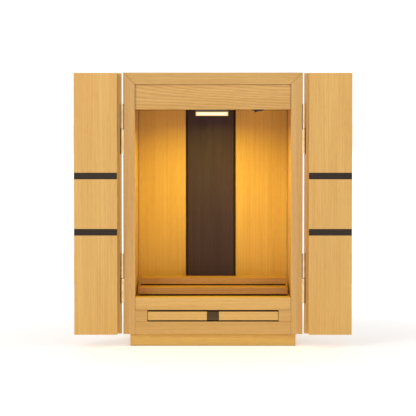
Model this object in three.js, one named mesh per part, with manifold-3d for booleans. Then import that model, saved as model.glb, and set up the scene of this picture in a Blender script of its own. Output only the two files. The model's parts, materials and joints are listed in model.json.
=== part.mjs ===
// A household altar cabinet for a shelf or table top: a veneered case on a low plinth, with a lit
// interior, two loose stepped boards, a pull-out offering shelf and a pair of two-leaf folding doors.
// Millimetres. +X is to the viewer's right, +Y to the back, +Z up. The face frame's front is at y = 0
// while the pieces are placed, and the finished group is moved so that its box is centred on the origin.

import * as THREE from "three";
import { mergeVertices } from "three/addons/utils/BufferGeometryUtils.js";
import Module from "manifold-3d";

const wasm = await Module();
wasm.setup();

// The case
const caseWidth = 359;
const caseHeight = 548;
const caseDepth = 240;
const panelThickness = 23.3;
const glueGap = 0.3;
const frameDepth = 18;
const backInset = 8;
const backThickness = 10;

// The plinth under the case
const plinthHeight = 24.5;
const plinthInset = 13.5;
const plinthSetback = 10;
const plinthThickness = 15;

// The front, from the bottom rail up
const bottomRailHeight = 25.2;
const slotHeight = 23.3;
const slotBlockWidth = 24.7;
const shelfRailHeight = 24.6;
const shelfRailRecess = 1.2;
const headerHeight = 50.1;
const headerRecess = 4;
const headerThickness = 12;
const ceilingThickness = 12;
const floorThickness = 15;

// The loose stepped boards and the dark board behind them
const stepSideGap = 5.2;
const stepRearSpace = 42.4;
const stepCornerRadius = 3.5;
const stepCleatWidth = 14;
const stepCleatInset = 26;
const lowerStepFront = 45;
const lowerStepThickness = 12.9;
const lowerStepLift = 3.7;
const upperStepFront = 107;
const upperStepThickness = 12.3;
const upperStepLift = 2.7;
const darkBoardWidth = 104.7;
const darkBoardThickness = 9;
const darkBoardBevel = 5;
const darkBoardOffset = -4.5;

// The lamp bar and its rocker switch under the ceiling
const lampWidth = 65;
const lampOffset = -2;
const lampSetback = 4;
const lampHousingDepth = 14;
const lampHousingHeight = 4.2;
const lampDiffuserDepth = 12;
const lampDiffuserHeight = 8;
const lampCornerRadius = 2;
const switchOffset = 91;
const switchSetback = 6;
const switchBezelLength = 24;
const switchBezelWidth = 15;
const switchBezelDrop = 1.5;
const switchWall = 1;
const switchBodyLength = 22;
const switchBodyWidth = 12;
const switchPocketDepth = 6;
const rockerLength = 17;
const rockerCrown = 13.6;
const rockerRise = 2;
const rockerShoulder = 1.8;
const rockerDrop = 4.2;
const rockerValley = 2.8;
const rockerClearance = 0.5;
const rockerPivotDrop = 0.5;
const rockerTilt = THREE.MathUtils.degToRad(11);

// The pull-out offering shelf
const shelfTopGap = 3.4;
const shelfBottomGap = 2.7;
const shelfSideGap = 1;
const shelfFrontRecess = 1;
const shelfFrontThickness = 12;
const shelfBoardThickness = 9;
const shelfBoardInset = 1.5;
const shelfBoardDepth = 185;
const shelfTongueLift = 3;
const runnerFence = 9;
const runnerOverlap = 10;
const runnerBackGap = 6;
const pullWidth = 23.6;
const pullDepth = 8;
const pullStandProud = 0.5;

// The folding doors
const leafThickness = 19;
const leafEndGap = 1;
const foldGap = 5;
const closedGap = 0.8;
const meetingGap = 1;
const pinStandoff = 2.3;
const pinToLeaf = 1.3;
const foldReach = 95.2;
const foldEdge = 0.4;
const stripeHeight = 12.7;
const stripeDepth = 3;
const stripeSpread = 56;
const stripeGap = 0.25;

// The brass lift-off hinges on the case
const hingeLength = 99.3;
const hingeBarrelRadius = 2.3;
const hingeEndDistance = 111.4;
const hingePlateThickness = 1.5;
const hingePlateWidth = 14;
const hingeSplit = 1.2;
const hingeClearance = 1.6;
const barrelSides = 16;

// The slim hinges between the two leaves of a door
const foldHingeLength = 60;
const foldHingeSpread = 130;
const foldBarrelRadius = 1.5;
const foldPlateThickness = 1.2;
const foldPlateWidth = 18;
const foldKnuckleGap = 0.3;
const foldBarrelSides = 12;

// Places that follow from the sizes above
const halfWidth = caseWidth / 2;
const openingHalf = halfWidth - panelThickness;
const frameBottom = plinthHeight;
const slotBottom = frameBottom + bottomRailHeight;
const slotTop = slotBottom + slotHeight;
const floorTop = slotTop + shelfRailHeight;
const topUnderside = caseHeight - panelThickness;
const ceilingUnderside = topUnderside - headerHeight;
const backFront = caseDepth - backInset - backThickness;
const innerHalf = openingHalf - glueGap;
const slotHalf = openingHalf - slotBlockWidth;
const shelfHalfWidth = slotHalf - shelfSideGap;
const behindFrame = frameDepth + glueGap;

function wood(colour, roughness) {
  return new THREE.MeshStandardMaterial({ color: colour, roughness, metalness: 0 });
}

const doorVeneer = wood(0xdeae68, 0.5);
const caseVeneer = wood(0xd2a269, 0.5);
const railWood = wood(0xd7a664, 0.5);
const interiorVeneer = wood(0xdca05a, 0.5);
const plinthWood = wood(0xdeab58, 0.55);
const darkWood = wood(0x533c30, 0.4);
const stripeWood = wood(0x4b3d35, 0.45);
const brass = new THREE.MeshStandardMaterial({ color: 0xcfae78, roughness: 0.3, metalness: 1 });
const lampGrey = new THREE.MeshStandardMaterial({ color: 0x55504a, roughness: 0.5, metalness: 0 });
const lampGlow = new THREE.MeshStandardMaterial({ color: 0xfff0cf, roughness: 0.4, metalness: 0 });
const switchBlack = new THREE.MeshStandardMaterial({ color: 0x151413, roughness: 0.35, metalness: 0 });

const altar = new THREE.Group();

function addMesh(name, geometry, material) {
  const mesh = new THREE.Mesh(geometry, material);
  mesh.name = name;
  altar.add(mesh);
  return mesh;
}

// A rectangular board between pairs of limits, placed by its centre
function addBoard(name, xs, ys, zs, material) {
  const spans = [xs, ys, zs].map(([a, b]) => Math.abs(b - a));
  const mesh = addMesh(name, new THREE.BoxGeometry(...spans), material);
  mesh.position.set(...[xs, ys, zs].map(([a, b]) => (a + b) / 2));
  return mesh;
}

// The same box as geometry in place, for cutting and joining
function blockGeometry(xs, ys, zs) {
  const spans = [xs, ys, zs].map(([a, b]) => Math.abs(b - a));
  const centre = [xs, ys, zs].map(([a, b]) => (a + b) / 2);
  return new THREE.BoxGeometry(...spans).translate(...centre);
}

function outline(points) {
  return new THREE.Shape(points.map(([a, b]) => new THREE.Vector2(a, b)));
}

// An outline drawn in x and z, run from the front y to the back y
function extrudeAlongY(shape, [front, back]) {
  const geometry = new THREE.ExtrudeGeometry(shape, { depth: back - front, bevelEnabled: false });
  const turn = new THREE.Matrix4().makeBasis(
    new THREE.Vector3(1, 0, 0),
    new THREE.Vector3(0, 0, 1),
    new THREE.Vector3(0, -1, 0),
  );
  return geometry.applyMatrix4(turn).translate(0, back, 0);
}

// An outline drawn in y and z, run from the left x to the right x
function extrudeAlongX(shape, [left, right]) {
  const run = { depth: right - left, bevelEnabled: false, curveSegments: 4 };
  const geometry = new THREE.ExtrudeGeometry(shape, run);
  const turn = new THREE.Matrix4().makeBasis(
    new THREE.Vector3(0, 1, 0),
    new THREE.Vector3(0, 0, 1),
    new THREE.Vector3(1, 0, 0),
  );
  return geometry.applyMatrix4(turn).translate(left, 0, 0);
}

// An outline drawn in x and y, run from the low z to the high z
function extrudeAlongZ(shape, [low, high]) {
  const geometry = new THREE.ExtrudeGeometry(shape, { depth: high - low, bevelEnabled: false });
  return geometry.translate(0, 0, low);
}

function uprightCylinder(radius, sides, [x, y], [low, high]) {
  const geometry = new THREE.CylinderGeometry(radius, radius, high - low, sides);
  return geometry.rotateX(Math.PI / 2).translate(x, y, (low + high) / 2);
}

function toSolid(geometry) {
  const bare = geometry.clone();
  bare.deleteAttribute("normal");
  bare.deleteAttribute("uv");
  const merged = mergeVertices(bare, 1e-4);
  return new wasm.Manifold(
    new wasm.Mesh({
      numProp: 3,
      vertProperties: new Float32Array(merged.attributes.position.array),
      triVerts: new Uint32Array(merged.index.array),
    }),
  );
}

function toGeometry(solid) {
  const made = solid.getMesh();
  const geometry = new THREE.BufferGeometry();
  geometry.setAttribute("position", new THREE.BufferAttribute(made.vertProperties, made.numProp));
  geometry.setIndex(new THREE.BufferAttribute(made.triVerts, 1));
  geometry.computeVertexNormals();
  return geometry;
}

function join(geometries) {
  return toGeometry(geometries.map(toSolid).reduce((whole, next) => whole.add(next)));
}

function cut(geometry, cutters) {
  return toGeometry(cutters.map(toSolid).reduce((whole, next) => whole.subtract(next), toSolid(geometry)));
}

// The case: side, top and bottom panels of one thickness, with floor, ceiling and back let in
function addCase() {
  const between = [frameBottom + panelThickness + glueGap, topUnderside - glueGap];
  const deep = [behindFrame, caseDepth];
  for (const [name, side] of [["left_side", -1], ["right_side", 1]]) {
    addBoard(name, [side * openingHalf, side * halfWidth], deep, between, caseVeneer);
  }
  const wide = [-halfWidth, halfWidth];
  addBoard("top_board", wide, deep, [topUnderside, caseHeight], caseVeneer);
  addBoard("bottom_board", wide, deep, [frameBottom, frameBottom + panelThickness], caseVeneer);
  const inner = [-innerHalf, innerHalf];
  const insideDeep = [behindFrame, backFront - glueGap];
  addBoard("floor_board", inner, insideDeep, [floorTop - floorThickness, floorTop], interiorVeneer);
  addBoard("back_board", inner, [backFront, backFront + backThickness], between, interiorVeneer);
}

// The ceiling board, behind the header, with the cut-out that the switch is pressed into
function addCeiling() {
  const [x, y] = switchCentre();
  const halfLength = switchBodyLength / 2 + glueGap;
  const halfDepth = switchBodyWidth / 2 + glueGap;
  const board = blockGeometry(
    [-innerHalf, innerHalf],
    [headerRecess + headerThickness + glueGap, backFront - glueGap],
    [ceilingUnderside, ceilingUnderside + ceilingThickness],
  );
  const cutOut = blockGeometry(
    [x - halfLength, x + halfLength],
    [y - halfDepth, y + halfDepth],
    [ceilingUnderside - 1, ceilingUnderside + ceilingThickness + 1],
  );
  addMesh("ceiling_board", cut(board, [cutOut]), interiorVeneer);
}

function addPlinth() {
  const half = halfWidth - plinthInset;
  const front = plinthSetback;
  const back = caseDepth - plinthSetback;
  const tall = [0, plinthHeight - glueGap];
  addBoard("plinth_front", [-half, half], [front, front + plinthThickness], tall, plinthWood);
  addBoard("plinth_back", [-half, half], [back - plinthThickness, back], tall, plinthWood);
  const between = [front + plinthThickness + glueGap, back - plinthThickness - glueGap];
  addBoard("plinth_left", [-half, -half + plinthThickness], between, tall, plinthWood);
  addBoard("plinth_right", [half - plinthThickness, half], between, tall, plinthWood);
}

// The upright of the face frame on one side: mitred at the top, with mortises for the hinges
function addStile(name, side) {
  const shape = outline([
    [side * halfWidth, frameBottom],
    [side * halfWidth, caseHeight - glueGap],
    [side * openingHalf, topUnderside - glueGap],
    [side * openingHalf, frameBottom],
  ]);
  const upright = extrudeAlongY(shape, [0, frameDepth]);
  addMesh(name, cut(upright, hingeMortises(side, halfWidth, -1)), caseVeneer);
}

function addFaceFrame() {
  addStile("left_stile", -1);
  addStile("right_stile", 1);
  const topRail = outline([
    [-halfWidth + glueGap, caseHeight],
    [halfWidth - glueGap, caseHeight],
    [openingHalf - glueGap, topUnderside],
    [-openingHalf + glueGap, topUnderside],
  ]);
  addMesh("top_rail", extrudeAlongY(topRail, [0, frameDepth]), railWood);
  const inner = [-innerHalf, innerHalf];
  addBoard("bottom_rail", inner, [0, frameDepth], [frameBottom, slotBottom], railWood);
  addBoard(
    "header_board",
    inner,
    [headerRecess, headerRecess + headerThickness],
    [ceilingUnderside, topUnderside - glueGap],
    railWood,
  );
  addBoard("shelf_rail", inner, [shelfRailRecess, frameDepth], [slotTop, floorTop], railWood);
  const slotTall = [slotBottom + glueGap, slotTop - glueGap];
  for (const [name, side] of [["left_slot_block", -1], ["right_slot_block", 1]]) {
    addBoard(name, [side * slotHalf, side * innerHalf], [0, frameDepth], slotTall, railWood);
  }
}

// A loose board with its upper corners rounded, on two cleats that lift it off what it rests on
function addStep(name, front, bottom, lift, thickness) {
  const half = openingHalf - stepSideGap;
  const back = backFront - darkBoardThickness - glueGap - stepRearSpace;
  const low = bottom + lift;
  const high = low + thickness;
  const round = stepCornerRadius;
  const shape = new THREE.Shape();
  shape.moveTo(-half, low);
  shape.lineTo(half, low);
  shape.absarc(half - round, high - round, round, 0, Math.PI / 2, false);
  shape.absarc(-half + round, high - round, round, Math.PI / 2, Math.PI, false);
  shape.closePath();
  const board = extrudeAlongY(shape, [front, back]);
  const cleats = [-1, 1].map((side) =>
    blockGeometry(
      [side * (half - stepCleatInset), side * (half - stepCleatInset - stepCleatWidth)],
      [front + stepCleatInset, back],
      [bottom + glueGap, low + thickness / 2],
    ),
  );
  addMesh(name, join([board, ...cleats]), interiorVeneer);
  return high;
}

function addInterior() {
  const lowerTop = addStep("lower_step", lowerStepFront, floorTop, lowerStepLift, lowerStepThickness);
  addStep("upper_step", upperStepFront, lowerTop, upperStepLift, upperStepThickness);
  const half = darkBoardWidth / 2;
  const back = backFront - glueGap;
  const front = back - darkBoardThickness;
  const shape = outline([
    [darkBoardOffset - half, back],
    [darkBoardOffset - half + darkBoardBevel, front],
    [darkBoardOffset + half - darkBoardBevel, front],
    [darkBoardOffset + half, back],
  ]);
  const tall = [floorTop + glueGap, ceilingUnderside - glueGap];
  addMesh("dark_board", extrudeAlongZ(shape, tall), darkWood);
}

// The lamp: a grey housing under the ceiling with a rounded diffuser below it
function addLamp() {
  const xs = [lampOffset - lampWidth / 2, lampOffset + lampWidth / 2];
  const front = headerRecess + headerThickness + lampSetback;
  const housingTop = ceilingUnderside - glueGap;
  const housingBottom = housingTop - lampHousingHeight;
  addBoard("lamp_housing", xs, [front, front + lampHousingDepth], [housingBottom, housingTop], lampGrey);
  const inset = (lampHousingDepth - lampDiffuserDepth) / 2;
  const [near, far] = [front + inset, front + inset + lampDiffuserDepth];
  const top = housingBottom - glueGap;
  const bottom = top - lampDiffuserHeight;
  const round = lampCornerRadius;
  const shape = new THREE.Shape();
  shape.moveTo(near, top);
  shape.lineTo(near, bottom + round);
  shape.absarc(near + round, bottom + round, round, Math.PI, 1.5 * Math.PI, false);
  shape.lineTo(far - round, bottom);
  shape.absarc(far - round, bottom + round, round, 1.5 * Math.PI, 2 * Math.PI, false);
  shape.lineTo(far, top);
  shape.closePath();
  addMesh("lamp_diffuser", extrudeAlongX(shape, xs), lampGlow);
}

function switchCentre() {
  const front = headerRecess + headerThickness + switchSetback;
  return [switchOffset, front + switchBezelWidth / 2];
}

// The rocker switch: a bezel under the ceiling, a body through the cut-out and a tilted rocker
function addSwitch() {
  const [x, y] = switchCentre();
  const around = (length) => [x - length / 2, x + length / 2];
  const across = (width) => [y - width / 2, y + width / 2];
  const bezelTop = ceilingUnderside - glueGap;
  const bezelBottom = bezelTop - switchBezelDrop;
  const rockerWidth = switchBodyWidth - 2 * (switchWall + rockerClearance);
  const pocketLength = rockerLength + 3 * rockerClearance;
  const bezel = blockGeometry(around(switchBezelLength), across(switchBezelWidth), [bezelBottom, bezelTop]);
  const body = blockGeometry(
    around(switchBodyLength),
    across(switchBodyWidth),
    [bezelBottom, ceilingUnderside + ceilingThickness],
  );
  const pocket = blockGeometry(
    around(pocketLength),
    across(rockerWidth + 2 * rockerClearance),
    [bezelBottom - 1, bezelBottom + switchPocketDepth],
  );
  addMesh("switch_body", cut(join([bezel, body]), [pocket]), switchBlack);
  const shape = outline([
    [-rockerLength / 2, rockerRise],
    [-rockerLength / 2, -rockerShoulder],
    [-rockerCrown / 2, -rockerDrop],
    [0, -rockerValley],
    [rockerCrown / 2, -rockerDrop],
    [rockerLength / 2, -rockerShoulder],
    [rockerLength / 2, rockerRise],
  ]);
  const rocker = extrudeAlongY(shape, [-rockerWidth / 2, rockerWidth / 2]);
  const mesh = addMesh("switch_rocker", rocker, switchBlack);
  mesh.position.set(x, y, ceilingUnderside - rockerPivotDrop);
  mesh.rotation.y = -rockerTilt;
}

// The offering shelf: a board on two runners, a front strip and a dark pull let into the strip
function addShelf() {
  const frontLow = slotBottom + shelfBottomGap;
  const frontHigh = slotTop - shelfTopGap;
  const stripBack = shelfFrontRecess + shelfFrontThickness;
  const boardLow = frontLow + shelfTongueLift;
  const boardHalf = shelfHalfWidth - shelfBoardInset;
  const strip = blockGeometry(
    [-shelfHalfWidth, shelfHalfWidth],
    [shelfFrontRecess, stripBack],
    [frontLow, frontHigh],
  );
  const notch = blockGeometry(
    [-pullWidth / 2 - glueGap, pullWidth / 2 + glueGap],
    [shelfFrontRecess - 1, shelfFrontRecess - pullStandProud + pullDepth + glueGap],
    [frontLow - 1, frontHigh + 1],
  );
  addMesh("shelf_front", cut(strip, [notch]), railWood);
  const pullFront = shelfFrontRecess - pullStandProud;
  addBoard(
    "shelf_pull",
    [-pullWidth / 2, pullWidth / 2],
    [pullFront, pullFront + pullDepth],
    [frontLow, frontHigh],
    stripeWood,
  );
  const boardFront = stripBack + glueGap;
  addBoard(
    "shelf_board",
    [-boardHalf, boardHalf],
    [boardFront, boardFront + shelfBoardDepth],
    [boardLow, boardLow + shelfBoardThickness],
    interiorVeneer,
  );
  const sole = frameBottom + panelThickness + glueGap;
  const inside = boardHalf - runnerOverlap;
  const fenceInside = boardHalf + shelfSideGap;
  const outside = fenceInside + runnerFence;
  for (const [name, side] of [["left_runner", -1], ["right_runner", 1]]) {
    const shape = outline([
      [side * inside, sole],
      [side * outside, sole],
      [side * outside, boardLow + shelfBoardThickness],
      [side * fenceInside, boardLow + shelfBoardThickness],
      [side * fenceInside, boardLow - glueGap],
      [side * inside, boardLow - glueGap],
    ]);
    const runner = extrudeAlongY(shape, [behindFrame, backFront - runnerBackGap]);
    addMesh(name, runner, interiorVeneer);
  }
}

// The doors. Each has an inner leaf hinged to the case and an outer leaf folded in front of it.
const leafLow = frameBottom + leafEndGap;
const leafHigh = caseHeight - leafEndGap;
const leafMiddle = (leafLow + leafHigh) / 2;
const pinX = halfWidth + pinStandoff;
const pinY = -closedGap / 2;
const foldX = pinX + foldReach;
const foldY = -foldGap / 2;
const innerLeafNear = pinX + pinToLeaf;
const leafFar = foldX - foldEdge;
const outerLeafWidth = pinX - foldReach - foldEdge - meetingGap / 2;
const outerLeafNear = leafFar - outerLeafWidth;
const hingeCentres = [["upper", leafHigh - hingeEndDistance], ["lower", leafLow + hingeEndDistance]];
const stripeCentres = [["upper", leafMiddle + stripeSpread], ["lower", leafMiddle - stripeSpread]];
const plateFront = pinY + hingeBarrelRadius + hingeClearance;

// What the case hinges need out of a wooden edge at x = edge, where into points from it to the wood
function hingeMortises(side, edge, into) {
  const radius = hingeBarrelRadius + hingeClearance;
  const deep = edge + into * (hingePlateThickness + glueGap);
  return hingeCentres.flatMap(([, middle]) => {
    const tall = [middle - hingeLength / 2 - glueGap, middle + hingeLength / 2 + glueGap];
    return [
      uprightCylinder(radius, barrelSides, [side * pinX, pinY], tall),
      blockGeometry(
        [side * (edge - into), side * deep],
        [pinY - radius, plateFront + hingePlateWidth + glueGap],
        tall,
      ),
    ];
  });
}

// One half of a lift-off hinge: a long plate let into the wood, with half of the barrel on it
function addHingeHalf(name, side, edge, into, middle, upper) {
  const low = middle - hingeLength / 2;
  const high = middle + hingeLength / 2;
  const share = upper ? [middle + hingeSplit / 2, high] : [low, middle - hingeSplit / 2];
  const inside = edge + into * hingePlateThickness;
  const plate = blockGeometry(
    [side * edge, side * inside],
    [plateFront, plateFront + hingePlateWidth],
    [low, high],
  );
  const web = blockGeometry([side * edge, side * inside], [pinY, plateFront + hingePlateThickness], share);
  const root = blockGeometry([side * pinX, side * inside], [pinY, pinY + hingePlateThickness], share);
  const barrel = uprightCylinder(hingeBarrelRadius, barrelSides, [side * pinX, pinY], share);
  addMesh(name, join([plate, web, root, barrel]), brass);
}

// One half of a fold hinge: face is the wood's inner face and into points from it to the wood
function addFoldHalf(name, side, face, into, middle, isMiddleKnuckle) {
  const high = middle + foldHingeLength / 2;
  const low = middle - foldHingeLength / 2;
  const third = foldHingeLength / 6;
  const plateNear = face - into * glueGap;
  const plateFar = plateNear - into * foldPlateThickness;
  const edge = foldX - foldBarrelRadius - foldKnuckleGap;
  const plate = blockGeometry(
    [side * (edge - foldPlateWidth), side * edge],
    [plateNear, plateFar],
    [low, high],
  );
  const shares = isMiddleKnuckle
    ? [[middle - third, middle + third]]
    : [[low, middle - third - foldKnuckleGap], [middle + third + foldKnuckleGap, high]];
  const knuckles = shares.flatMap((share) => [
    blockGeometry([side * (edge - foldPlateThickness), side * foldX], [plateNear, plateFar], share),
    uprightCylinder(foldBarrelRadius, foldBarrelSides, [side * foldX, foldY], share),
  ]);
  addMesh(name, join([plate, ...knuckles]), brass);
}

// A leaf with two grooves across its outer face for the dark stripes
function leafGeometry(side, [near, far], [inner, outer]) {
  const slab = blockGeometry([side * near, side * far], [inner, outer], [leafLow, leafHigh]);
  const outward = Math.sign(outer - inner);
  const half = stripeHeight / 2 + stripeGap;
  const grooves = stripeCentres.map(([, middle]) =>
    blockGeometry(
      [side * (near - 1), side * (far + 1)],
      [outer - outward * (stripeDepth + stripeGap), outer + outward],
      [middle - half, middle + half],
    ),
  );
  return cut(slab, grooves);
}

function addStripes(prefix, side, [near, far], [inner, outer]) {
  const outward = Math.sign(outer - inner);
  for (const [which, middle] of stripeCentres) {
    addBoard(
      `${prefix}_${which}_stripe`,
      [side * near, side * far],
      [outer - outward * stripeDepth, outer],
      [middle - stripeHeight / 2, middle + stripeHeight / 2],
      stripeWood,
    );
  }
}

function addDoor(name, side) {
  const innerSpan = [innerLeafNear, leafFar];
  const innerFaces = [0, leafThickness];
  const inner = leafGeometry(side, innerSpan, innerFaces);
  addMesh(`${name}_inner_leaf`, cut(inner, hingeMortises(side, innerLeafNear, 1)), doorVeneer);
  addStripes(`${name}_inner`, side, innerSpan, innerFaces);
  const outerSpan = [outerLeafNear, leafFar];
  const outerFaces = [-foldGap, -foldGap - leafThickness];
  addMesh(`${name}_outer_leaf`, leafGeometry(side, outerSpan, outerFaces), doorVeneer);
  addStripes(`${name}_outer`, side, outerSpan, outerFaces);
  for (const [which, middle] of hingeCentres) {
    addHingeHalf(`${name}_${which}_hinge_door_half`, side, innerLeafNear, 1, middle, true);
    addHingeHalf(`${name}_${which}_hinge_case_half`, side, halfWidth, -1, middle, false);
  }
  for (const [which, way] of [["upper", 1], ["lower", -1]]) {
    const middle = leafMiddle + way * foldHingeSpread;
    addFoldHalf(`${name}_${which}_fold_inner_half`, side, 0, 1, middle, true);
    addFoldHalf(`${name}_${which}_fold_outer_half`, side, -foldGap, -1, middle, false);
  }
}

addCase();
addCeiling();
addPlinth();
addFaceFrame();
addInterior();
addLamp();
addSwitch();
addShelf();
addDoor("left", -1);
addDoor("right", 1);

// The box runs from the folded leaves' front to the back of the case
const frontmost = -foldGap - leafThickness;
altar.position.y = -(frontmost + caseDepth) / 2;

export default altar;
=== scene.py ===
# %% [markdown]
# A household altar cabinet
#
# The cabinet stands on a table. It is a case of pale veneered board with a lit chamber, two loose
# stepped boards, a pull-out shelf and folding doors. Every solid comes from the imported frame, in metres.
# What is left for us is the look: wood grain, brass, lamp light, screws and a studio to stand in.

# %% Load the frame and keep its box
import bmesh
import bpy
import json
import math
from mathutils import Matrix, Vector


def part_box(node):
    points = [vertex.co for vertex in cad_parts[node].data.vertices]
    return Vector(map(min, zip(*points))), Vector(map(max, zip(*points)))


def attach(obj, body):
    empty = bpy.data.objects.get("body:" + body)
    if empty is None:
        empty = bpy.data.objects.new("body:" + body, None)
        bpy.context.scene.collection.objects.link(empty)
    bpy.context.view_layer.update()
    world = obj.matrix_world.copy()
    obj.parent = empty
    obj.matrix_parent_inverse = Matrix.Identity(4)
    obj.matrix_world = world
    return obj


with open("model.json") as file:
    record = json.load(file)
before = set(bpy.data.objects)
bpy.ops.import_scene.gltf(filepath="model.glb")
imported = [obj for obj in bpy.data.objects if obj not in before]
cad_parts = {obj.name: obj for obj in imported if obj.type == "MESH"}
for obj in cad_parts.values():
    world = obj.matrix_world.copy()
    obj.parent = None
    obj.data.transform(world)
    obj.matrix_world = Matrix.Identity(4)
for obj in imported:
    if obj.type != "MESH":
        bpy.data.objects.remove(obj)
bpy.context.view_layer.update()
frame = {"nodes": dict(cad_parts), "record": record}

# %% [markdown]
# Where things are
#
# The frame tells where each solid lies, so no place is typed twice. We read the few that later cells
# use: the front of the face frame, the upper right corner of the case, and the lamp.

# %% Places read from the frame
front_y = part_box("bottom_rail")[0][1]
case_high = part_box("top_board")[1]
lamp_low, lamp_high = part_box("lamp_diffuser")
print("front plane", round(front_y, 4), "case top", round(case_high[2], 4))

# %% [markdown]
# The camera
#
# The photograph was taken from far away with a long lens, at the height of the lamp, so the sides of
# the chamber show as thin strips. We stand 4.3 m off at that height and look slightly down. A shifted
# lens would keep the uprights exactly parallel, but the tilt is only about two degrees.

# %% Camera
PIXEL = 0.002  # metres to a pixel, in the plane of the face frame
IMAGE_WIDTH = 416
CENTRE_PIXEL = (212.95, 346.8)  # where x and z are zero, in the same plane
LOOK_PIXEL = (208, 208)  # the middle of the picture
EYE_DISTANCE = 4.3
EYE_HEIGHT = 0.4576
EYE_SIDE = -0.0019

eye = Vector((EYE_SIDE, front_y - EYE_DISTANCE, EYE_HEIGHT))
look_at = Vector((
    (LOOK_PIXEL[0] - CENTRE_PIXEL[0]) * PIXEL,
    front_y,
    (CENTRE_PIXEL[1] - LOOK_PIXEL[1]) * PIXEL,
))
camera_data = bpy.data.cameras.new("camera")
camera = bpy.data.objects.new("camera", camera_data)
bpy.context.collection.objects.link(camera)
camera.location = eye
camera.rotation_euler = (look_at - eye).to_track_quat("-Z", "Y").to_euler()
camera_data.lens = camera_data.sensor_width * (look_at - eye).length / (IMAGE_WIDTH * PIXEL)
bpy.context.scene.camera = camera
print("lens", round(camera_data.lens, 1), "mm")

# %% [markdown]
# Node groups
#
# Wood, brass and plastic share a few effects, so each effect is one node group with named sockets.
# A tiny helper adds a node, and another makes a group with its sockets. An input written i0 or i1 is
# the socket with that number, and any other is the socket with that name.

# %% Helpers for nodes
def add_node(tree, kind, settings=None, **inputs):
    node = tree.nodes.new(kind)
    for key, value in (settings or {}).items():
        setattr(node, key, value)
    for key, value in inputs.items():
        by_number = key[0] == "i" and key[1:].isdigit()
        socket = node.inputs[int(key[1:])] if by_number else node.inputs[key]
        if isinstance(value, bpy.types.NodeSocket):
            tree.links.new(value, socket)
        else:
            socket.default_value = value
    return node


def math_node(tree, operation, first, second=0.0, clamp=False):
    settings = {"operation": operation, "use_clamp": clamp}
    return add_node(tree, "ShaderNodeMath", settings, i0=first, i1=second).outputs[0]


def new_group(name, inputs, outputs):
    group = bpy.data.node_groups.new(name, "ShaderNodeTree")
    for socket, kind, value in inputs:
        made = group.interface.new_socket(socket, in_out="INPUT", socket_type=kind)
        if value is not None:
            made.default_value = value
    for socket, kind in outputs:
        group.interface.new_socket(socket, in_out="OUTPUT", socket_type=kind)
    return group, group.nodes.new("NodeGroupInput").outputs, group.nodes.new("NodeGroupOutput").inputs


FLOAT, VECTOR = "NodeSocketFloat", "NodeSocketVector"

# %% [markdown]
# Growth rings
#
# A board is a flat slice through a tree, and its figure is where the slice meets the yearly rings. So
# we model the trunk: a distance from the heart, which leans a little against the board, divided by the
# ring width. A heart far to the side gives straight lines, a heart close below gives pointed arches.

# %% Group: growth rings
RING_DRIFT_STRETCH = (3, 16, 16)
LATE_WOOD_SHARPNESS = 3.0
RING_EDGE_STEEPNESS = 8.0

rings, given, out = new_group(
    "growth rings",
    [("Grain Vector", VECTOR, None), ("Heart Side", FLOAT, 0.2), ("Heart Depth", FLOAT, 0.05),
     ("Lean", FLOAT, 0.02), ("Ring Width", FLOAT, 0.003), ("Wander", FLOAT, 0.004)],
    [("Ring", FLOAT)],
)
grain_vector = given["Grain Vector"]
spread = add_node(
    rings, "ShaderNodeVectorMath", {"operation": "MULTIPLY"}, i0=grain_vector, i1=RING_DRIFT_STRETCH,
)
drift = add_node(rings, "ShaderNodeTexNoise", Vector=spread.outputs[0], Scale=1.0, Detail=2.0)
sway = math_node(rings, "MULTIPLY", math_node(rings, "SUBTRACT", drift.outputs["Fac"], 0.5), given["Wander"])
axes = add_node(rings, "ShaderNodeSeparateXYZ", i0=grain_vector).outputs
side_way = math_node(rings, "SUBTRACT", axes[1], given["Heart Side"])
leaning = math_node(rings, "MULTIPLY", axes[0], given["Lean"])
deep_way = math_node(rings, "ADD", math_node(rings, "ADD", axes[2], given["Heart Depth"]), leaning)
side_square = math_node(rings, "MULTIPLY", side_way, side_way)
deep_square = math_node(rings, "MULTIPLY", deep_way, deep_way)
from_heart = math_node(rings, "SQRT", math_node(rings, "ADD", side_square, deep_square))
radius = math_node(rings, "ADD", from_heart, sway)
years = math_node(rings, "DIVIDE", radius, given["Ring Width"])
season = math_node(rings, "FRACT", years)
late = math_node(rings, "POWER", season, LATE_WOOD_SHARPNESS)
left_over = math_node(rings, "SUBTRACT", 1.0, season)
edge = math_node(rings, "MULTIPLY", left_over, RING_EDGE_STEEPNESS, clamp=True)
rings.links.new(math_node(rings, "MULTIPLY", late, edge), out["Ring"])
print("group", rings.name)

# %% [markdown]
# Fibre and pores
#
# Up close, pale open-grained wood has short dark pores along the grain and a silky streakiness. Both
# are noise stretched many times along the grain. Broad patches of tone come from slower noise.

# %% Group: wood fibre
STREAK_STRETCH, STREAK_LIMITS = (5, 420, 420), (0.3, 0.7)
PORE_STRETCH, PORE_LIMITS = (45, 1500, 1500), (0.56, 0.68)
PATCH_STRETCH, PATCH_LIMITS = (2.2, 22, 22), (0.3, 0.7)

fibre, given, out = new_group(
    "wood fibre", [("Grain Vector", VECTOR, None)], [("Streak", FLOAT), ("Pore", FLOAT), ("Patch", FLOAT)],
)


def stretched_noise(tree, vector, stretch, detail, scale=1.0):
    moved = add_node(tree, "ShaderNodeVectorMath", {"operation": "MULTIPLY"}, i0=vector, i1=stretch)
    noise = add_node(tree, "ShaderNodeTexNoise", Vector=moved.outputs[0], Scale=scale, Detail=detail)
    return noise.outputs["Fac"]


def limits_node(tree, value, limits):
    low, high = limits
    settings = {"interpolation_type": "SMOOTHSTEP"}
    return add_node(tree, "ShaderNodeMapRange", settings, Value=value, i1=low, i2=high).outputs[0]


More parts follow.
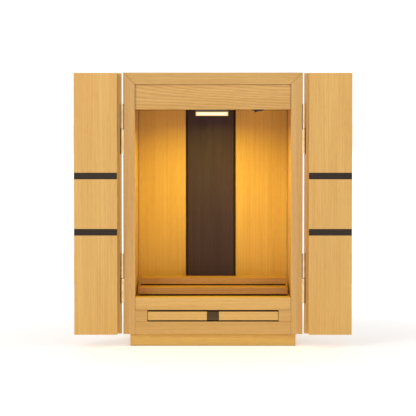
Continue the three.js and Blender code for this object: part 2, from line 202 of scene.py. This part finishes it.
streak = stretched_noise(fibre, given["Grain Vector"], STREAK_STRETCH, 3.0)
pore = stretched_noise(fibre, given["Grain Vector"], PORE_STRETCH, 1.0)
patch = stretched_noise(fibre, given["Grain Vector"], PATCH_STRETCH, 2.0)
fibre.links.new(limits_node(fibre, streak, STREAK_LIMITS), out["Streak"])
fibre.links.new(limits_node(fibre, pore, PORE_LIMITS), out["Pore"])
fibre.links.new(limits_node(fibre, patch, PATCH_LIMITS), out["Patch"])
print("group", fibre.name)

# %% [markdown]
# Handling marks
#
# Metal and plastic that people touch are never evenly glossy. This group gives a soft cloudy mask and
# a fine scratch mask, which the materials mix into their roughness and bump.

# %% Group: handling marks
CLOUD_LIMITS, SCRATCH_LIMITS = (0.35, 0.65), (0.45, 0.7)
SCRATCH_STRETCH = (1, 1, 0.06)

marks, given, out = new_group(
    "handling marks",
    [("Place", VECTOR, None), ("Cloud Scale", FLOAT, 90.0), ("Scratch Scale", FLOAT, 900.0)],
    [("Cloud", FLOAT), ("Scratch", FLOAT)],
)
cloud = add_node(
    marks, "ShaderNodeTexNoise", Vector=given["Place"], Scale=given["Cloud Scale"], Detail=3.0,
)
scratch = stretched_noise(marks, given["Place"], SCRATCH_STRETCH, 1.0, given["Scratch Scale"])
marks.links.new(limits_node(marks, cloud.outputs["Fac"], CLOUD_LIMITS), out["Cloud"])
marks.links.new(limits_node(marks, scratch, SCRATCH_LIMITS), out["Scratch"])
print("group", marks.name)

# %% [markdown]
# Shadowed recesses
#
# Shade falls where two boards meet and in the cuts for the hinges, and here that shade is painted into
# the colour. An occlusion mask finds these places on any shape, so nothing has to be painted by hand.

# %% Group: recess
OPEN_LIMITS = (0.15, 0.85)
OCCLUSION_SAMPLES = 8

recess, given, out = new_group(
    "recess", [("Reach", FLOAT, 0.005), ("Hardness", FLOAT, 0.9)], [("Depth", FLOAT)],
)
closeness = add_node(
    recess, "ShaderNodeAmbientOcclusion", {"samples": OCCLUSION_SAMPLES}, Distance=given["Reach"],
)
open_share = limits_node(recess, closeness.outputs["AO"], OPEN_LIMITS)
hard_share = math_node(recess, "POWER", math_node(recess, "SUBTRACT", 1.0, open_share), given["Hardness"])
recess.links.new(hard_share, out["Depth"])
print("group", recess.name)

# %% [markdown]
# The wood finish
#
# One function makes every wood. It takes the three tones of a finish, the way the grain runs and where
# the heart of the tree lay, and lays the rings, streaks and pores over each other. The rings are
# measured from the board's own middle. The fibre has an offset of its own on every board, so that no
# two boards show the same streaks.

# %% Colours and small helpers for materials


def linear(red, green, blue):
    def one(value):
        value /= 255
        return value / 12.92 if value <= 0.04045 else ((value + 0.055) / 1.055) ** 2.4

    return (one(red), one(green), one(blue), 1.0)


def mix_colour(tree, share, first, second):
    return add_node(tree, "ShaderNodeMix", {"data_type": "RGBA"}, i0=share, i6=first, i7=second).outputs[2]


def weighted(tree, pairs):
    total = 0.0
    for value, weight in pairs:
        total = math_node(tree, "ADD", math_node(tree, "MULTIPLY", value, weight), total)
    return total


def new_material(name):
    material = bpy.data.materials.new(name)
    material.use_nodes = True
    material.node_tree.nodes.clear()
    shader = material.node_tree.nodes.new("ShaderNodeBsdfPrincipled")
    output = material.node_tree.nodes.new("ShaderNodeOutputMaterial")
    material.node_tree.links.new(shader.outputs[0], output.inputs[0])
    return material, material.node_tree, shader


# %% Function: a wood material
# Which axes of the object run along the grain, across it, and into the board
GRAIN_ORDER = {
    "upright": (2, 0, 1), "upright_side": (2, 1, 0), "level": (0, 2, 1), "flat": (0, 1, 2), "deep": (1, 0, 2),
}
# painted shade in joints and hinge cuts: how strongly it darkens the wood, and its brown
RECESS_PAINTED_SHADE = 0.75
SHADOW_BROWN = linear(70, 40, 16)
STREAK_ROUGHNESS, PORE_ROUGHNESS = 0.1, 0.08
PORE_HEIGHT, STREAK_HEIGHT, RING_HEIGHT = -1.0, -0.4, 0.3
WOOD_RELIEF_STRENGTH, WOOD_RELIEF_DEPTH = 0.25, 0.0002
LACQUER_ROUGHNESS = 0.25


def wood_material(name, look, grain, centre, offset, tree_heart):
    material, tree, shader = new_material(name)
    place = add_node(tree, "ShaderNodeTexCoord").outputs["Object"]
    from_centre = add_node(tree, "ShaderNodeVectorMath", {"operation": "SUBTRACT"}, i0=place, i1=centre)
    parts = add_node(tree, "ShaderNodeSeparateXYZ", i0=from_centre.outputs[0]).outputs
    along, across, inward = (parts[axis] for axis in GRAIN_ORDER[grain])
    turned = add_node(tree, "ShaderNodeCombineXYZ", i0=along, i1=across, i2=inward)
    moved = add_node(tree, "ShaderNodeVectorMath", {"operation": "ADD"}, i0=turned.outputs[0], i1=offset)
    ring_inputs = {"Grain Vector": turned.outputs[0], **tree_heart}
    ring = add_node(tree, "ShaderNodeGroup", {"node_tree": rings}, **ring_inputs)
    thread_inputs = {"Grain Vector": moved.outputs[0]}
    thread = add_node(tree, "ShaderNodeGroup", {"node_tree": fibre}, **thread_inputs)
    pale, middle, dark = look["tones"]
    ring_share = math_node(tree, "MULTIPLY", ring.outputs["Ring"], look["ring"])
    tone = mix_colour(tree, thread.outputs["Patch"], pale, middle)
    tone = mix_colour(tree, ring_share, tone, dark)
    streaks = math_node(tree, "MULTIPLY", thread.outputs["Streak"], look["streak"])
    tone = mix_colour(tree, streaks, tone, dark)
    pores = math_node(tree, "MULTIPLY", thread.outputs["Pore"], look["pore"])
    tone = mix_colour(tree, pores, tone, dark)
    # painted shade: the occlusion mask darkens joints and hinge cuts towards shadow brown
    recess_shade = add_node(tree, "ShaderNodeGroup", {"node_tree": recess}).outputs["Depth"]
    tone = mix_colour(tree, math_node(tree, "MULTIPLY", recess_shade, RECESS_PAINTED_SHADE), tone, SHADOW_BROWN)
    tree.links.new(tone, shader.inputs["Base Color"])
    rough = weighted(
        tree, [(thread.outputs["Streak"], STREAK_ROUGHNESS), (thread.outputs["Pore"], PORE_ROUGHNESS)],
    )
    rough = math_node(tree, "ADD", rough, look["roughness"])
    tree.links.new(rough, shader.inputs["Roughness"])
    relief = weighted(tree, [
        (thread.outputs["Pore"], PORE_HEIGHT), (thread.outputs["Streak"], STREAK_HEIGHT),
        (ring.outputs["Ring"], RING_HEIGHT),
    ])
    bump = add_node(
        tree, "ShaderNodeBump", Strength=WOOD_RELIEF_STRENGTH, Distance=WOOD_RELIEF_DEPTH, Height=relief,
    )
    tree.links.new(bump.outputs[0], shader.inputs["Normal"])
    shader.inputs["Specular IOR Level"].default_value = look["gloss"]
    shader.inputs["Coat Weight"].default_value = look["coat"]
    shader.inputs["Coat Roughness"].default_value = LACQUER_ROUGHNESS
    return material


# %% [markdown]
# The finishes
#
# The cabinet is one pale species under a clear satin lacquer. Doors, rails and chamber differ a little
# in tone, and the narrow stripes, the pull and the board at the back are stained dark like walnut. A
# finish is three tones and how strongly rings, streaks and pores show in them.

# %% Finishes of the woods
def finish(pale, middle, dark, ring, streak=0.26, pore=0.3, roughness=0.42, coat=0.1, gloss=0.4):
    tones = (linear(*pale), linear(*middle), linear(*dark))
    return {
        "tones": tones, "ring": ring, "streak": streak, "pore": pore,
        "roughness": roughness, "coat": coat, "gloss": gloss,
    }


DOOR = finish((222, 177, 100), (215, 167, 91), (180, 128, 62), 0.36)
STILE = finish((212, 169, 102), (204, 159, 92), (172, 124, 66), 0.34)
RAIL = finish((210, 166, 96), (202, 156, 86), (164, 114, 54), 0.42)
HEADER = finish((219, 175, 104), (210, 163, 90), (152, 100, 44), 0.62, streak=0.2)
CHAMBER = finish((221, 176, 84), (213, 165, 74), (184, 130, 48), 0.4, gloss=0.25)
STEP = finish((192, 144, 72), (182, 132, 60), (140, 92, 36), 0.5, gloss=0.3)
PLINTH = finish((222, 178, 92), (214, 167, 81), (178, 128, 56), 0.36)
STRIP = finish((222, 178, 104), (214, 168, 94), (180, 130, 66), 0.36)
WALNUT = finish((58, 48, 41), (51, 41, 35), (34, 27, 23), 0.5, roughness=0.5, coat=0.0, gloss=0.15)
PULL = finish((96, 74, 48), (80, 60, 38), (52, 37, 22), 0.8, roughness=0.5, coat=0.0, gloss=0.15)
BACKDARK = finish((66, 42, 38), (57, 37, 34), (38, 25, 23), 0.5, roughness=0.55, coat=0.0, gloss=0.3)


def heart(side, depth, lean, width, wander):
    return {"Heart Side": side, "Heart Depth": depth, "Lean": lean, "Ring Width": width, "Wander": wander}


STRAIGHT = heart(0.3, 0.1, 0.02, 0.0032, 0.007)
SWEEPING = heart(0.06, -0.026, 0.13, 0.0058, 0.026)
ARCH = heart(0.01, 0.05, 0.12, 0.005, 0.008)
FINE = heart(0.3, 0.1, 0.01, 0.0022, 0.003)
print("finishes ready")

# %% [markdown]
# Which board gets which wood
#
# A joiner runs the grain along each piece: upright in doors, stiles and walls, level in rails, steps and
# plinth. The list below is that cutting list.

# %% Cutting list
CUTTING_LIST = [
    (["left_side", "right_side"], STILE, "upright_side", STRAIGHT),
    (["top_board"], STILE, "flat", ARCH),
    (["bottom_board"], STILE, "flat", ARCH),
    (["floor_board", "ceiling_board"], CHAMBER, "flat", ARCH),
    (["back_board"], CHAMBER, "upright", STRAIGHT),
    (["left_stile", "right_stile"], STILE, "upright", STRAIGHT),
    (["top_rail", "bottom_rail"], RAIL, "level", STRAIGHT),
    (["shelf_rail"], STRIP, "level", STRAIGHT),
    (["header_board"], HEADER, "level", SWEEPING),
    (["left_slot_block", "right_slot_block"], RAIL, "level", STRAIGHT),
    (["plinth_front", "plinth_back"], PLINTH, "level", STRAIGHT),
    (["plinth_left", "plinth_right"], PLINTH, "deep", STRAIGHT),
    (["lower_step", "upper_step"], STEP, "level", STRAIGHT),
    (["shelf_front"], STRIP, "level", FINE),
    (["shelf_board"], STEP, "flat", ARCH),
    (["left_runner", "right_runner"], STEP, "deep", STRAIGHT),
    (["dark_board"], BACKDARK, "upright", STRAIGHT),
    (["shelf_pull"], PULL, "level", FINE),
    ([f"{side}_{leaf}_leaf" for side in ("left", "right") for leaf in ("inner", "outer")],
     DOOR, "upright", STRAIGHT),
    ([f"{side}_{leaf}_{row}_stripe" for side in ("left", "right") for leaf in ("inner", "outer")
      for row in ("upper", "lower")], WALNUT, "level", FINE),
]
OFFSET_STEP = Vector((0.37, 0.011, 0.007))  # from one board's fibre to the next


def dress(node, material):
    shown = frame["nodes"][node]
    shown.data.materials.clear()
    shown.data.materials.append(material)


board_number = 0
for nodes, look, grain, tree_heart in CUTTING_LIST:
    for node in nodes:
        board_number += 1
        centre = (Vector(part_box(node)[0]) + Vector(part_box(node)[1])) / 2
        offset = OFFSET_STEP * board_number
        dress(node, wood_material(f"wood {node}", look, grain, centre, offset, tree_heart))
print(board_number, "boards dressed")

# %% [markdown]
# Eased edges
#
# A joiner takes the sharpness off each edge with sandpaper. A small bevel does that here, and it gives
# every board the thin bright or dark line at its edge that the eye expects. The modifier keeps the
# frame's mesh as it is. Mitred, inlaid and hidden pieces stay sharp, so that their joints stay closed.

# %% Ease the edges of the boards
EASE_ROUND = 0.0007
EASE_ANGLE = math.radians(40)


def ease(node, width, segments=2):
    modifier = frame["nodes"][node].modifiers.new("eased edge", "BEVEL")
    modifier.width = width
    modifier.segments = segments
    modifier.limit_method = "ANGLE"
    modifier.angle_limit = EASE_ANGLE


SHARP_WORDS = ("stile", "top_rail", "stripe", "runner")
boards = [node for nodes, *_ in CUTTING_LIST for node in nodes]
eased = [node for node in boards if not any(word in node for word in SHARP_WORDS)]
for node in eased:
    ease(node, EASE_ROUND)
print(len(eased), "boards eased")

# %% [markdown]
# The board's bevelled sides
#
# The dark board at the back has broad bevels down both long sides, which turn away from the light, and
# their shade is painted on nearly black. They are the faces that look sideways, so the surface's own
# normal finds them.

# %% Darken the bevelled sides
# the colour of the painted shade on the sideways bevels
NEARLY_BLACK = linear(40, 22, 12)
SIDEWAYS_LIMITS = (0.55, 0.8)


def paint_bevel_shade(material):
    tree = material.node_tree
    shader = next(node for node in tree.nodes if node.type == "BSDF_PRINCIPLED")
    tone = shader.inputs["Base Color"].links[0].from_socket
    facing = add_node(tree, "ShaderNodeTexCoord").outputs["Normal"]
    sideways = math_node(tree, "ABSOLUTE", add_node(tree, "ShaderNodeSeparateXYZ", i0=facing).outputs[0])
    share = limits_node(tree, sideways, SIDEWAYS_LIMITS)
    # painted shade: the faces that look sideways are mixed towards nearly black
    tree.links.new(mix_colour(tree, share, tone, NEARLY_BLACK), shader.inputs["Base Color"])


paint_bevel_shade(frame["nodes"]["dark_board"].data.materials[0])
print("bevels stained")

# %% [markdown]
# Brass
#
# The hinges are polished brass that has dulled a little. Metal has no colour of its own under the
# reflection, so the colour sits in Base Color with Metallic at one, and the handling marks make the
# polish uneven. In the narrow gap beside the doors and on the sides of the barrels, painted shade
# darkens the metal nearly black.

# %% Brass material
BRASS_PAINTED_SHADE_SHARE = 0.9
BRASS_PAINTED_SHADE = linear(36, 22, 10)
DULL_SHARE = 0.82
BRASS_CLOUD_ROUGHNESS, BRASS_SCRATCH_ROUGHNESS = 0.12, 0.08
BRASS_RELIEF_STRENGTH, SCRATCH_DEPTH = 0.15, 0.0001


def brass_material(name, colour, roughness):
    material, tree, shader = new_material(name)
    place = add_node(tree, "ShaderNodeTexCoord").outputs["Object"]
    mark = add_node(tree, "ShaderNodeGroup", {"node_tree": marks}, Place=place)
    dull = tuple(channel * DULL_SHARE for channel in colour[:3]) + (1.0,)
    tone = mix_colour(tree, mark.outputs["Cloud"], colour, dull)
    # painted shade: the occlusion mask darkens the metal in the hinge gaps and on the barrel sides
    recess_shade = add_node(tree, "ShaderNodeGroup", {"node_tree": recess}).outputs["Depth"]
    painted_gap_shade = math_node(tree, "MULTIPLY", recess_shade, BRASS_PAINTED_SHADE_SHARE)
    tree.links.new(mix_colour(tree, painted_gap_shade, tone, BRASS_PAINTED_SHADE), shader.inputs["Base Color"])
    rough = weighted(tree, [
        (mark.outputs["Cloud"], BRASS_CLOUD_ROUGHNESS), (mark.outputs["Scratch"], BRASS_SCRATCH_ROUGHNESS),
    ])
    tree.links.new(math_node(tree, "ADD", rough, roughness), shader.inputs["Roughness"])
    relief = mark.outputs["Scratch"]
    bump = add_node(
        tree, "ShaderNodeBump", Strength=BRASS_RELIEF_STRENGTH, Distance=SCRATCH_DEPTH, Height=relief,
    )
    tree.links.new(bump.outputs[0], shader.inputs["Normal"])
    shader.inputs["Metallic"].default_value = 1.0
    return material


brass = brass_material("polished brass", linear(246, 218, 168), 0.3)
hinge_nodes = [name for name in frame["nodes"] if "hinge" in name or "fold" in name]
for node in hinge_nodes:
    dress(node, brass)
print(len(hinge_nodes), "hinge halves in brass")

# %% [markdown]
# Hinge washers and screws
#
# A lift-off hinge turns on a thin washer between its two halves, and countersunk screws hold its plates.
# Both are turned parts, so a short profile spun round an axis makes them. Each hinge half has its screws
# as one piece, which rides on the body that the half belongs to.

# %% Functions: spin a profile, and make the mesh a piece
def spun_rings(bm, profile, centre, axis, sides=20):
    turn = Vector(axis).to_track_quat("Z", "Y").to_matrix().to_4x4()
    turn = Matrix.Translation(centre) @ turn
    rounds = []
    for radius, height in profile:
        if radius == 0:
            rounds.append([bm.verts.new(turn @ Vector((0, 0, height)))])
            continue
        angles = [2 * math.pi * step / sides for step in range(sides)]
        points = [Vector((radius * math.cos(a), radius * math.sin(a), height)) for a in angles]
        rounds.append([bm.verts.new(turn @ point) for point in points])
    for low, high in zip(rounds, rounds[1:]):
        for step in range(sides):
            after = (step + 1) % sides
            lower = [low[step % len(low)], low[after % len(low)]]
            upper = [high[after % len(high)], high[step % len(high)]]
            bm.faces.new(list(dict.fromkeys(lower + upper)))


def piece_from(bm, name, material):
    bmesh.ops.recalc_face_normals(bm, faces=bm.faces)
    mesh = bpy.data.meshes.new(name)
    bm.to_mesh(mesh)
    bm.free()
    for face in mesh.polygons:
        face.use_smooth = True
    piece = bpy.data.objects.new(name, mesh)
    bpy.context.collection.objects.link(piece)
    mesh.materials.append(material)
    return piece


# %% Where the hinge plates lie
PLATE_WIDTH = 0.014
PLATE_CASE_X = case_high[0]
PLATE_DOOR_X = abs(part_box("left_inner_leaf")[1][0])
print("plates at", round(PLATE_CASE_X, 4), round(PLATE_DOOR_X, 4))

# %% Washers in the split of each case hinge
WASHER_RADIUS, WASHER_HALF, WASHER_EDGE = 0.0025, 0.00045, 0.0002
WASHER_PROFILE = [
    (0, -WASHER_HALF),
    (WASHER_RADIUS - WASHER_EDGE, -WASHER_HALF),
    (WASHER_RADIUS, -WASHER_HALF + WASHER_EDGE),
    (WASHER_RADIUS, WASHER_HALF - WASHER_EDGE),
    (WASHER_RADIUS - WASHER_EDGE, WASHER_HALF),
    (0, WASHER_HALF),
]
behaviour = frame["record"]["behaviour"]
pin_of = {joint["name"]: joint["pos_m"] for joint in behaviour["joints"]}
bronze = brass_material("dark bronze", linear(96, 66, 34), 0.4)
for side in ("left", "right"):
    for row in ("upper", "lower"):
        low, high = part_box(f"{side}_{row}_hinge_case_half")
        pin = pin_of[f"{side}_door"]
        bm = bmesh.new()
        spun_rings(bm, WASHER_PROFILE, (pin[0], pin[1], (low[2] + high[2]) / 2), (0, 0, 1))
        washer = piece_from(bm, f"{side}_{row}_hinge_washer", bronze)
        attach(washer, "cabinet")
print("4 washers")

# %% Countersunk screws in the hinge plates
SCREW_ROWS = (-0.036, -0.014, 0.014, 0.036)
SCREW_RADIUS, SCREW_DEPTH = 0.0024, 0.0006
SOCKET_RADIUS, SOCKET_MOUTH, SOCKET_DEPTH = 0.0008, 0.0010, 0.0003
CROWN_RADIUS, CROWN_RISE, MOUTH_RISE = 0.0022, 0.00006, 0.00005
SCREW_PROFILE = [
    (0, -SOCKET_DEPTH),
    (SOCKET_RADIUS, -SOCKET_DEPTH),
    (SOCKET_MOUTH, MOUTH_RISE),
    (CROWN_RADIUS, CROWN_RISE),
    (SCREW_RADIUS, 0.0),
    (SCREW_RADIUS, -SCREW_DEPTH),
    (0, -SCREW_DEPTH),
]
SCREW_SIDES = 16
body_of = {node: name for name, nodes in behaviour["bodies"].items() for node in nodes}
screws_made = 0
for node in [name for name in frame["nodes"] if "_hinge_" in name]:
    low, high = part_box(node)
    outward = -1 if node.startswith("left") else 1
    is_door = "door_half" in node
    towards_pin = -outward if is_door else outward
    plate_x = outward * (PLATE_DOOR_X if is_door else PLATE_CASE_X)
    middle = (low[2] + high[2]) / 2
    bm = bmesh.new()
    for row in SCREW_ROWS:
        centre = (plate_x, high[1] - PLATE_WIDTH / 2, middle + row)
        spun_rings(bm, SCREW_PROFILE, centre, (towards_pin, 0, 0), SCREW_SIDES)
        screws_made += 1
    screws = piece_from(bm, node.replace("_half", "_screws"), brass)
    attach(screws, body_of[node])
print(screws_made, "screws")

# %% [markdown]
# Lamp and switch
#
# The diffuser is frosted plastic with a row of light sources behind it, so it glows almost evenly and
# fades to amber at its rim. The housing and the rocker switch are plain moulded plastic.

# %% Lamp and switch materials
LAMP_COLOUR = linear(255, 248, 214)
LAMP_RIM = linear(226, 184, 92)
LAMP_STRENGTH = 1.0
UNLIT_DIFFUSER = linear(120, 98, 60)
WIDTH_AXIS, HEIGHT_AXIS = 0, 2
LAMP_CORE = {WIDTH_AXIS: 0.85, HEIGHT_AXIS: 0.45}  # the share of each half that glows at full strength
LAMP_ROUND, SWITCH_ROUND = 0.0026, 0.0003
DIFFUSER_ROUGHNESS = 0.4
PLASTIC_CLOUD_SCALE = 300.0
PLASTIC_CLOUD_ROUGHNESS, PLASTIC_SCRATCH_ROUGHNESS = 0.1, 0.06
PLASTIC_RELIEF_STRENGTH, PLASTIC_RELIEF_DEPTH = 0.1, 0.0001
LIGHTER_SHARE, LIGHTER_LIFT = 1.4, 0.002


def plastic_material(name, colour, roughness):
    material, tree, shader = new_material(name)
    place = add_node(tree, "ShaderNodeTexCoord").outputs["Object"]
    mark_inputs = {"Place": place, "Cloud Scale": PLASTIC_CLOUD_SCALE}
    mark = add_node(tree, "ShaderNodeGroup", {"node_tree": marks}, **mark_inputs)
    lighter = tuple(min(1.0, channel * LIGHTER_SHARE + LIGHTER_LIFT) for channel in colour[:3]) + (1.0,)
    tree.links.new(mix_colour(tree, mark.outputs["Cloud"], colour, lighter), shader.inputs["Base Color"])
    rough = weighted(tree, [
        (mark.outputs["Cloud"], PLASTIC_CLOUD_ROUGHNESS), (mark.outputs["Scratch"], PLASTIC_SCRATCH_ROUGHNESS),
    ])
    tree.links.new(math_node(tree, "ADD", rough, roughness), shader.inputs["Roughness"])
    relief = mark.outputs["Cloud"]
    bump = add_node(
        tree, "ShaderNodeBump", Strength=PLASTIC_RELIEF_STRENGTH, Distance=PLASTIC_RELIEF_DEPTH, Height=relief,
    )
    tree.links.new(bump.outputs[0], shader.inputs["Normal"])
    return material


def diffuser_material():
    material, tree, shader = new_material("lit diffuser")
    place = add_node(tree, "ShaderNodeTexCoord").outputs["Object"]
    axes = add_node(tree, "ShaderNodeSeparateXYZ", i0=place).outputs
    shares = []
    for axis, core in LAMP_CORE.items():
        middle = (lamp_low[axis] + lamp_high[axis]) / 2
        half = (lamp_high[axis] - lamp_low[axis]) / 2
        away = math_node(tree, "ABSOLUTE", math_node(tree, "SUBTRACT", axes[axis], middle))
        shares.append(limits_node(tree, away, (half, half * core)))
    glow = math_node(tree, "MINIMUM", *shares)
    tree.links.new(mix_colour(tree, glow, LAMP_RIM, LAMP_COLOUR), shader.inputs["Emission Color"])
    shader.inputs["Emission Strength"].default_value = LAMP_STRENGTH
    shader.inputs["Base Color"].default_value = UNLIT_DIFFUSER
    shader.inputs["Roughness"].default_value = DIFFUSER_ROUGHNESS
    return material


dress("lamp_diffuser", diffuser_material())
ease("lamp_diffuser", LAMP_ROUND, segments=5)
dress("lamp_housing", plastic_material("lamp housing plastic", linear(70, 62, 54), 0.45))
switch_plastic = plastic_material("switch plastic", linear(14, 12, 10), 0.5)
for node in ("switch_body", "switch_rocker"):
    dress(node, switch_plastic)
    ease(node, SWITCH_ROUND)
print("lamp and switch dressed")

# %% [markdown]
# The studio
#
# A pale floor and a pale surround, as in a product photograph. The surround is bright for the camera
# and in reflections, and dimmer as a light. The floor glows a little, less near the cabinet, so that the
# cabinet still casts a soft shadow.

# %% Floor
FLOOR_HALF = 30.0
NEAR_FLOOR, FAR_FLOOR = 0.35, 1.2
NEAR_GLOW, FAR_GLOW = 0.42, 0.75
FLOOR_TONES = ((0.86, 0.86, 0.86, 1), (0.9, 0.9, 0.9, 1))
FLOOR_ROUGHNESS = 0.7


def stage_floor():
    mesh = bpy.data.meshes.new("studio_floor")
    corners = [(x * FLOOR_HALF, y * FLOOR_HALF, 0.0) for x, y in ((-1, -1), (1, -1), (1, 1), (-1, 1))]
    mesh.from_pydata(corners, [], [(0, 1, 2, 3)])
    floor = bpy.data.objects.new("studio_floor", mesh)
    bpy.context.collection.objects.link(floor)
    material, tree, shader = new_material("pale floor")
    place = add_node(tree, "ShaderNodeTexCoord").outputs["Object"]
    grain = add_node(tree, "ShaderNodeTexNoise", Vector=place, Scale=40.0, Detail=2.0)
    white = mix_colour(tree, grain.outputs["Fac"], *FLOOR_TONES)
    tree.links.new(white, shader.inputs["Base Color"])
    shader.inputs["Roughness"].default_value = FLOOR_ROUGHNESS
    shader.inputs["Emission Color"].default_value = (1, 1, 1, 1)
    away = add_node(tree, "ShaderNodeVectorMath", {"operation": "LENGTH"}, i0=place).outputs["Value"]
    far = limits_node(tree, away, (NEAR_FLOOR, FAR_FLOOR))
    glow = weighted(tree, [(far, FAR_GLOW - NEAR_GLOW)])
    tree.links.new(math_node(tree, "ADD", glow, NEAR_GLOW), shader.inputs["Emission Strength"])
    mesh.materials.append(material)


stage_floor()
print("floor ready")

# %% Surround
SURROUND_SEEN, AMBIENT = 1.1, 0.5
SURROUND_WHITE = (1.0, 0.99, 0.98, 1.0)
world = bpy.data.worlds.new("studio surround")
world.use_nodes = True
bpy.context.scene.world = world
world_tree = world.node_tree
world_tree.nodes.clear()
rays = add_node(world_tree, "ShaderNodeLightPath").outputs
bright_ray = math_node(world_tree, "MAXIMUM", rays["Is Camera Ray"], rays["Is Glossy Ray"])
extra = math_node(world_tree, "MULTIPLY", bright_ray, SURROUND_SEEN - AMBIENT)
seen = math_node(world_tree, "ADD", extra, AMBIENT)
background = add_node(world_tree, "ShaderNodeBackground", Color=SURROUND_WHITE, Strength=seen)
world_out = world_tree.nodes.new("ShaderNodeOutputWorld")
world_tree.links.new(background.outputs[0], world_out.inputs[0])
bpy.context.scene.view_settings.view_transform = "Standard"
print("surround ready")

# %% [markdown]
# The lights
#
# Two large soft panels light the front, the stronger one from the left, so a faint shadow falls to the
# right on the floor. Inside, the lamp's own light is a small warm panel just behind the diffuser, aimed
# nearly straight down, because a glowing mesh alone makes a noisy render.

# %% Studio panels
def panel_light(name, place, towards, size, power, colour=(1, 1, 1), spread=180.0):
    data = bpy.data.lights.new(name, "AREA")
    data.shape = "RECTANGLE"
    data.size, data.size_y = size
    data.energy = power
    data.color = colour
    data.spread = math.radians(spread)
    lamp = bpy.data.objects.new(name, data)
    bpy.context.collection.objects.link(lamp)
    lamp.location = place
    lamp.rotation_euler = (Vector(towards) - Vector(place)).to_track_quat("-Z", "Y").to_euler()


MIDDLE_OF_CASE = (0, 0, 0.3)
KEY_PLACE, KEY_SIZE, KEY_POWER = (-2.2, -3.2, 2.2), (1.4, 1.4), 42
FILL_PLACE, FILL_SIZE, FILL_POWER = (2.4, -3.0, 1.4), (2.0, 2.0), 12
panel_light("key_panel", KEY_PLACE, MIDDLE_OF_CASE, KEY_SIZE, KEY_POWER)
panel_light("fill_panel", FILL_PLACE, MIDDLE_OF_CASE, FILL_SIZE, FILL_POWER)

# %% The lamp's own light
BEHIND_LAMP, ABOVE_LAMP_EDGE = 0.006, 0.004
TARGET_BEHIND, TARGET_HEIGHT = 0.03, 0.1
GLOW_SIZE, GLOW_POWER, GLOW_SPREAD = (0.06, 0.008), 0.83, 160
GLOW_AMBER = (1.0, 0.84, 0.05)
lamp_x = (lamp_low[0] + lamp_high[0]) / 2
lamp_under = (lamp_x, lamp_high[1] + BEHIND_LAMP, lamp_low[2] + ABOVE_LAMP_EDGE)
lamp_target = (lamp_x, lamp_high[1] + TARGET_BEHIND, TARGET_HEIGHT)
panel_light("lamp_light", lamp_under, lamp_target, GLOW_SIZE, GLOW_POWER, GLOW_AMBER, GLOW_SPREAD)
print("lights ready")
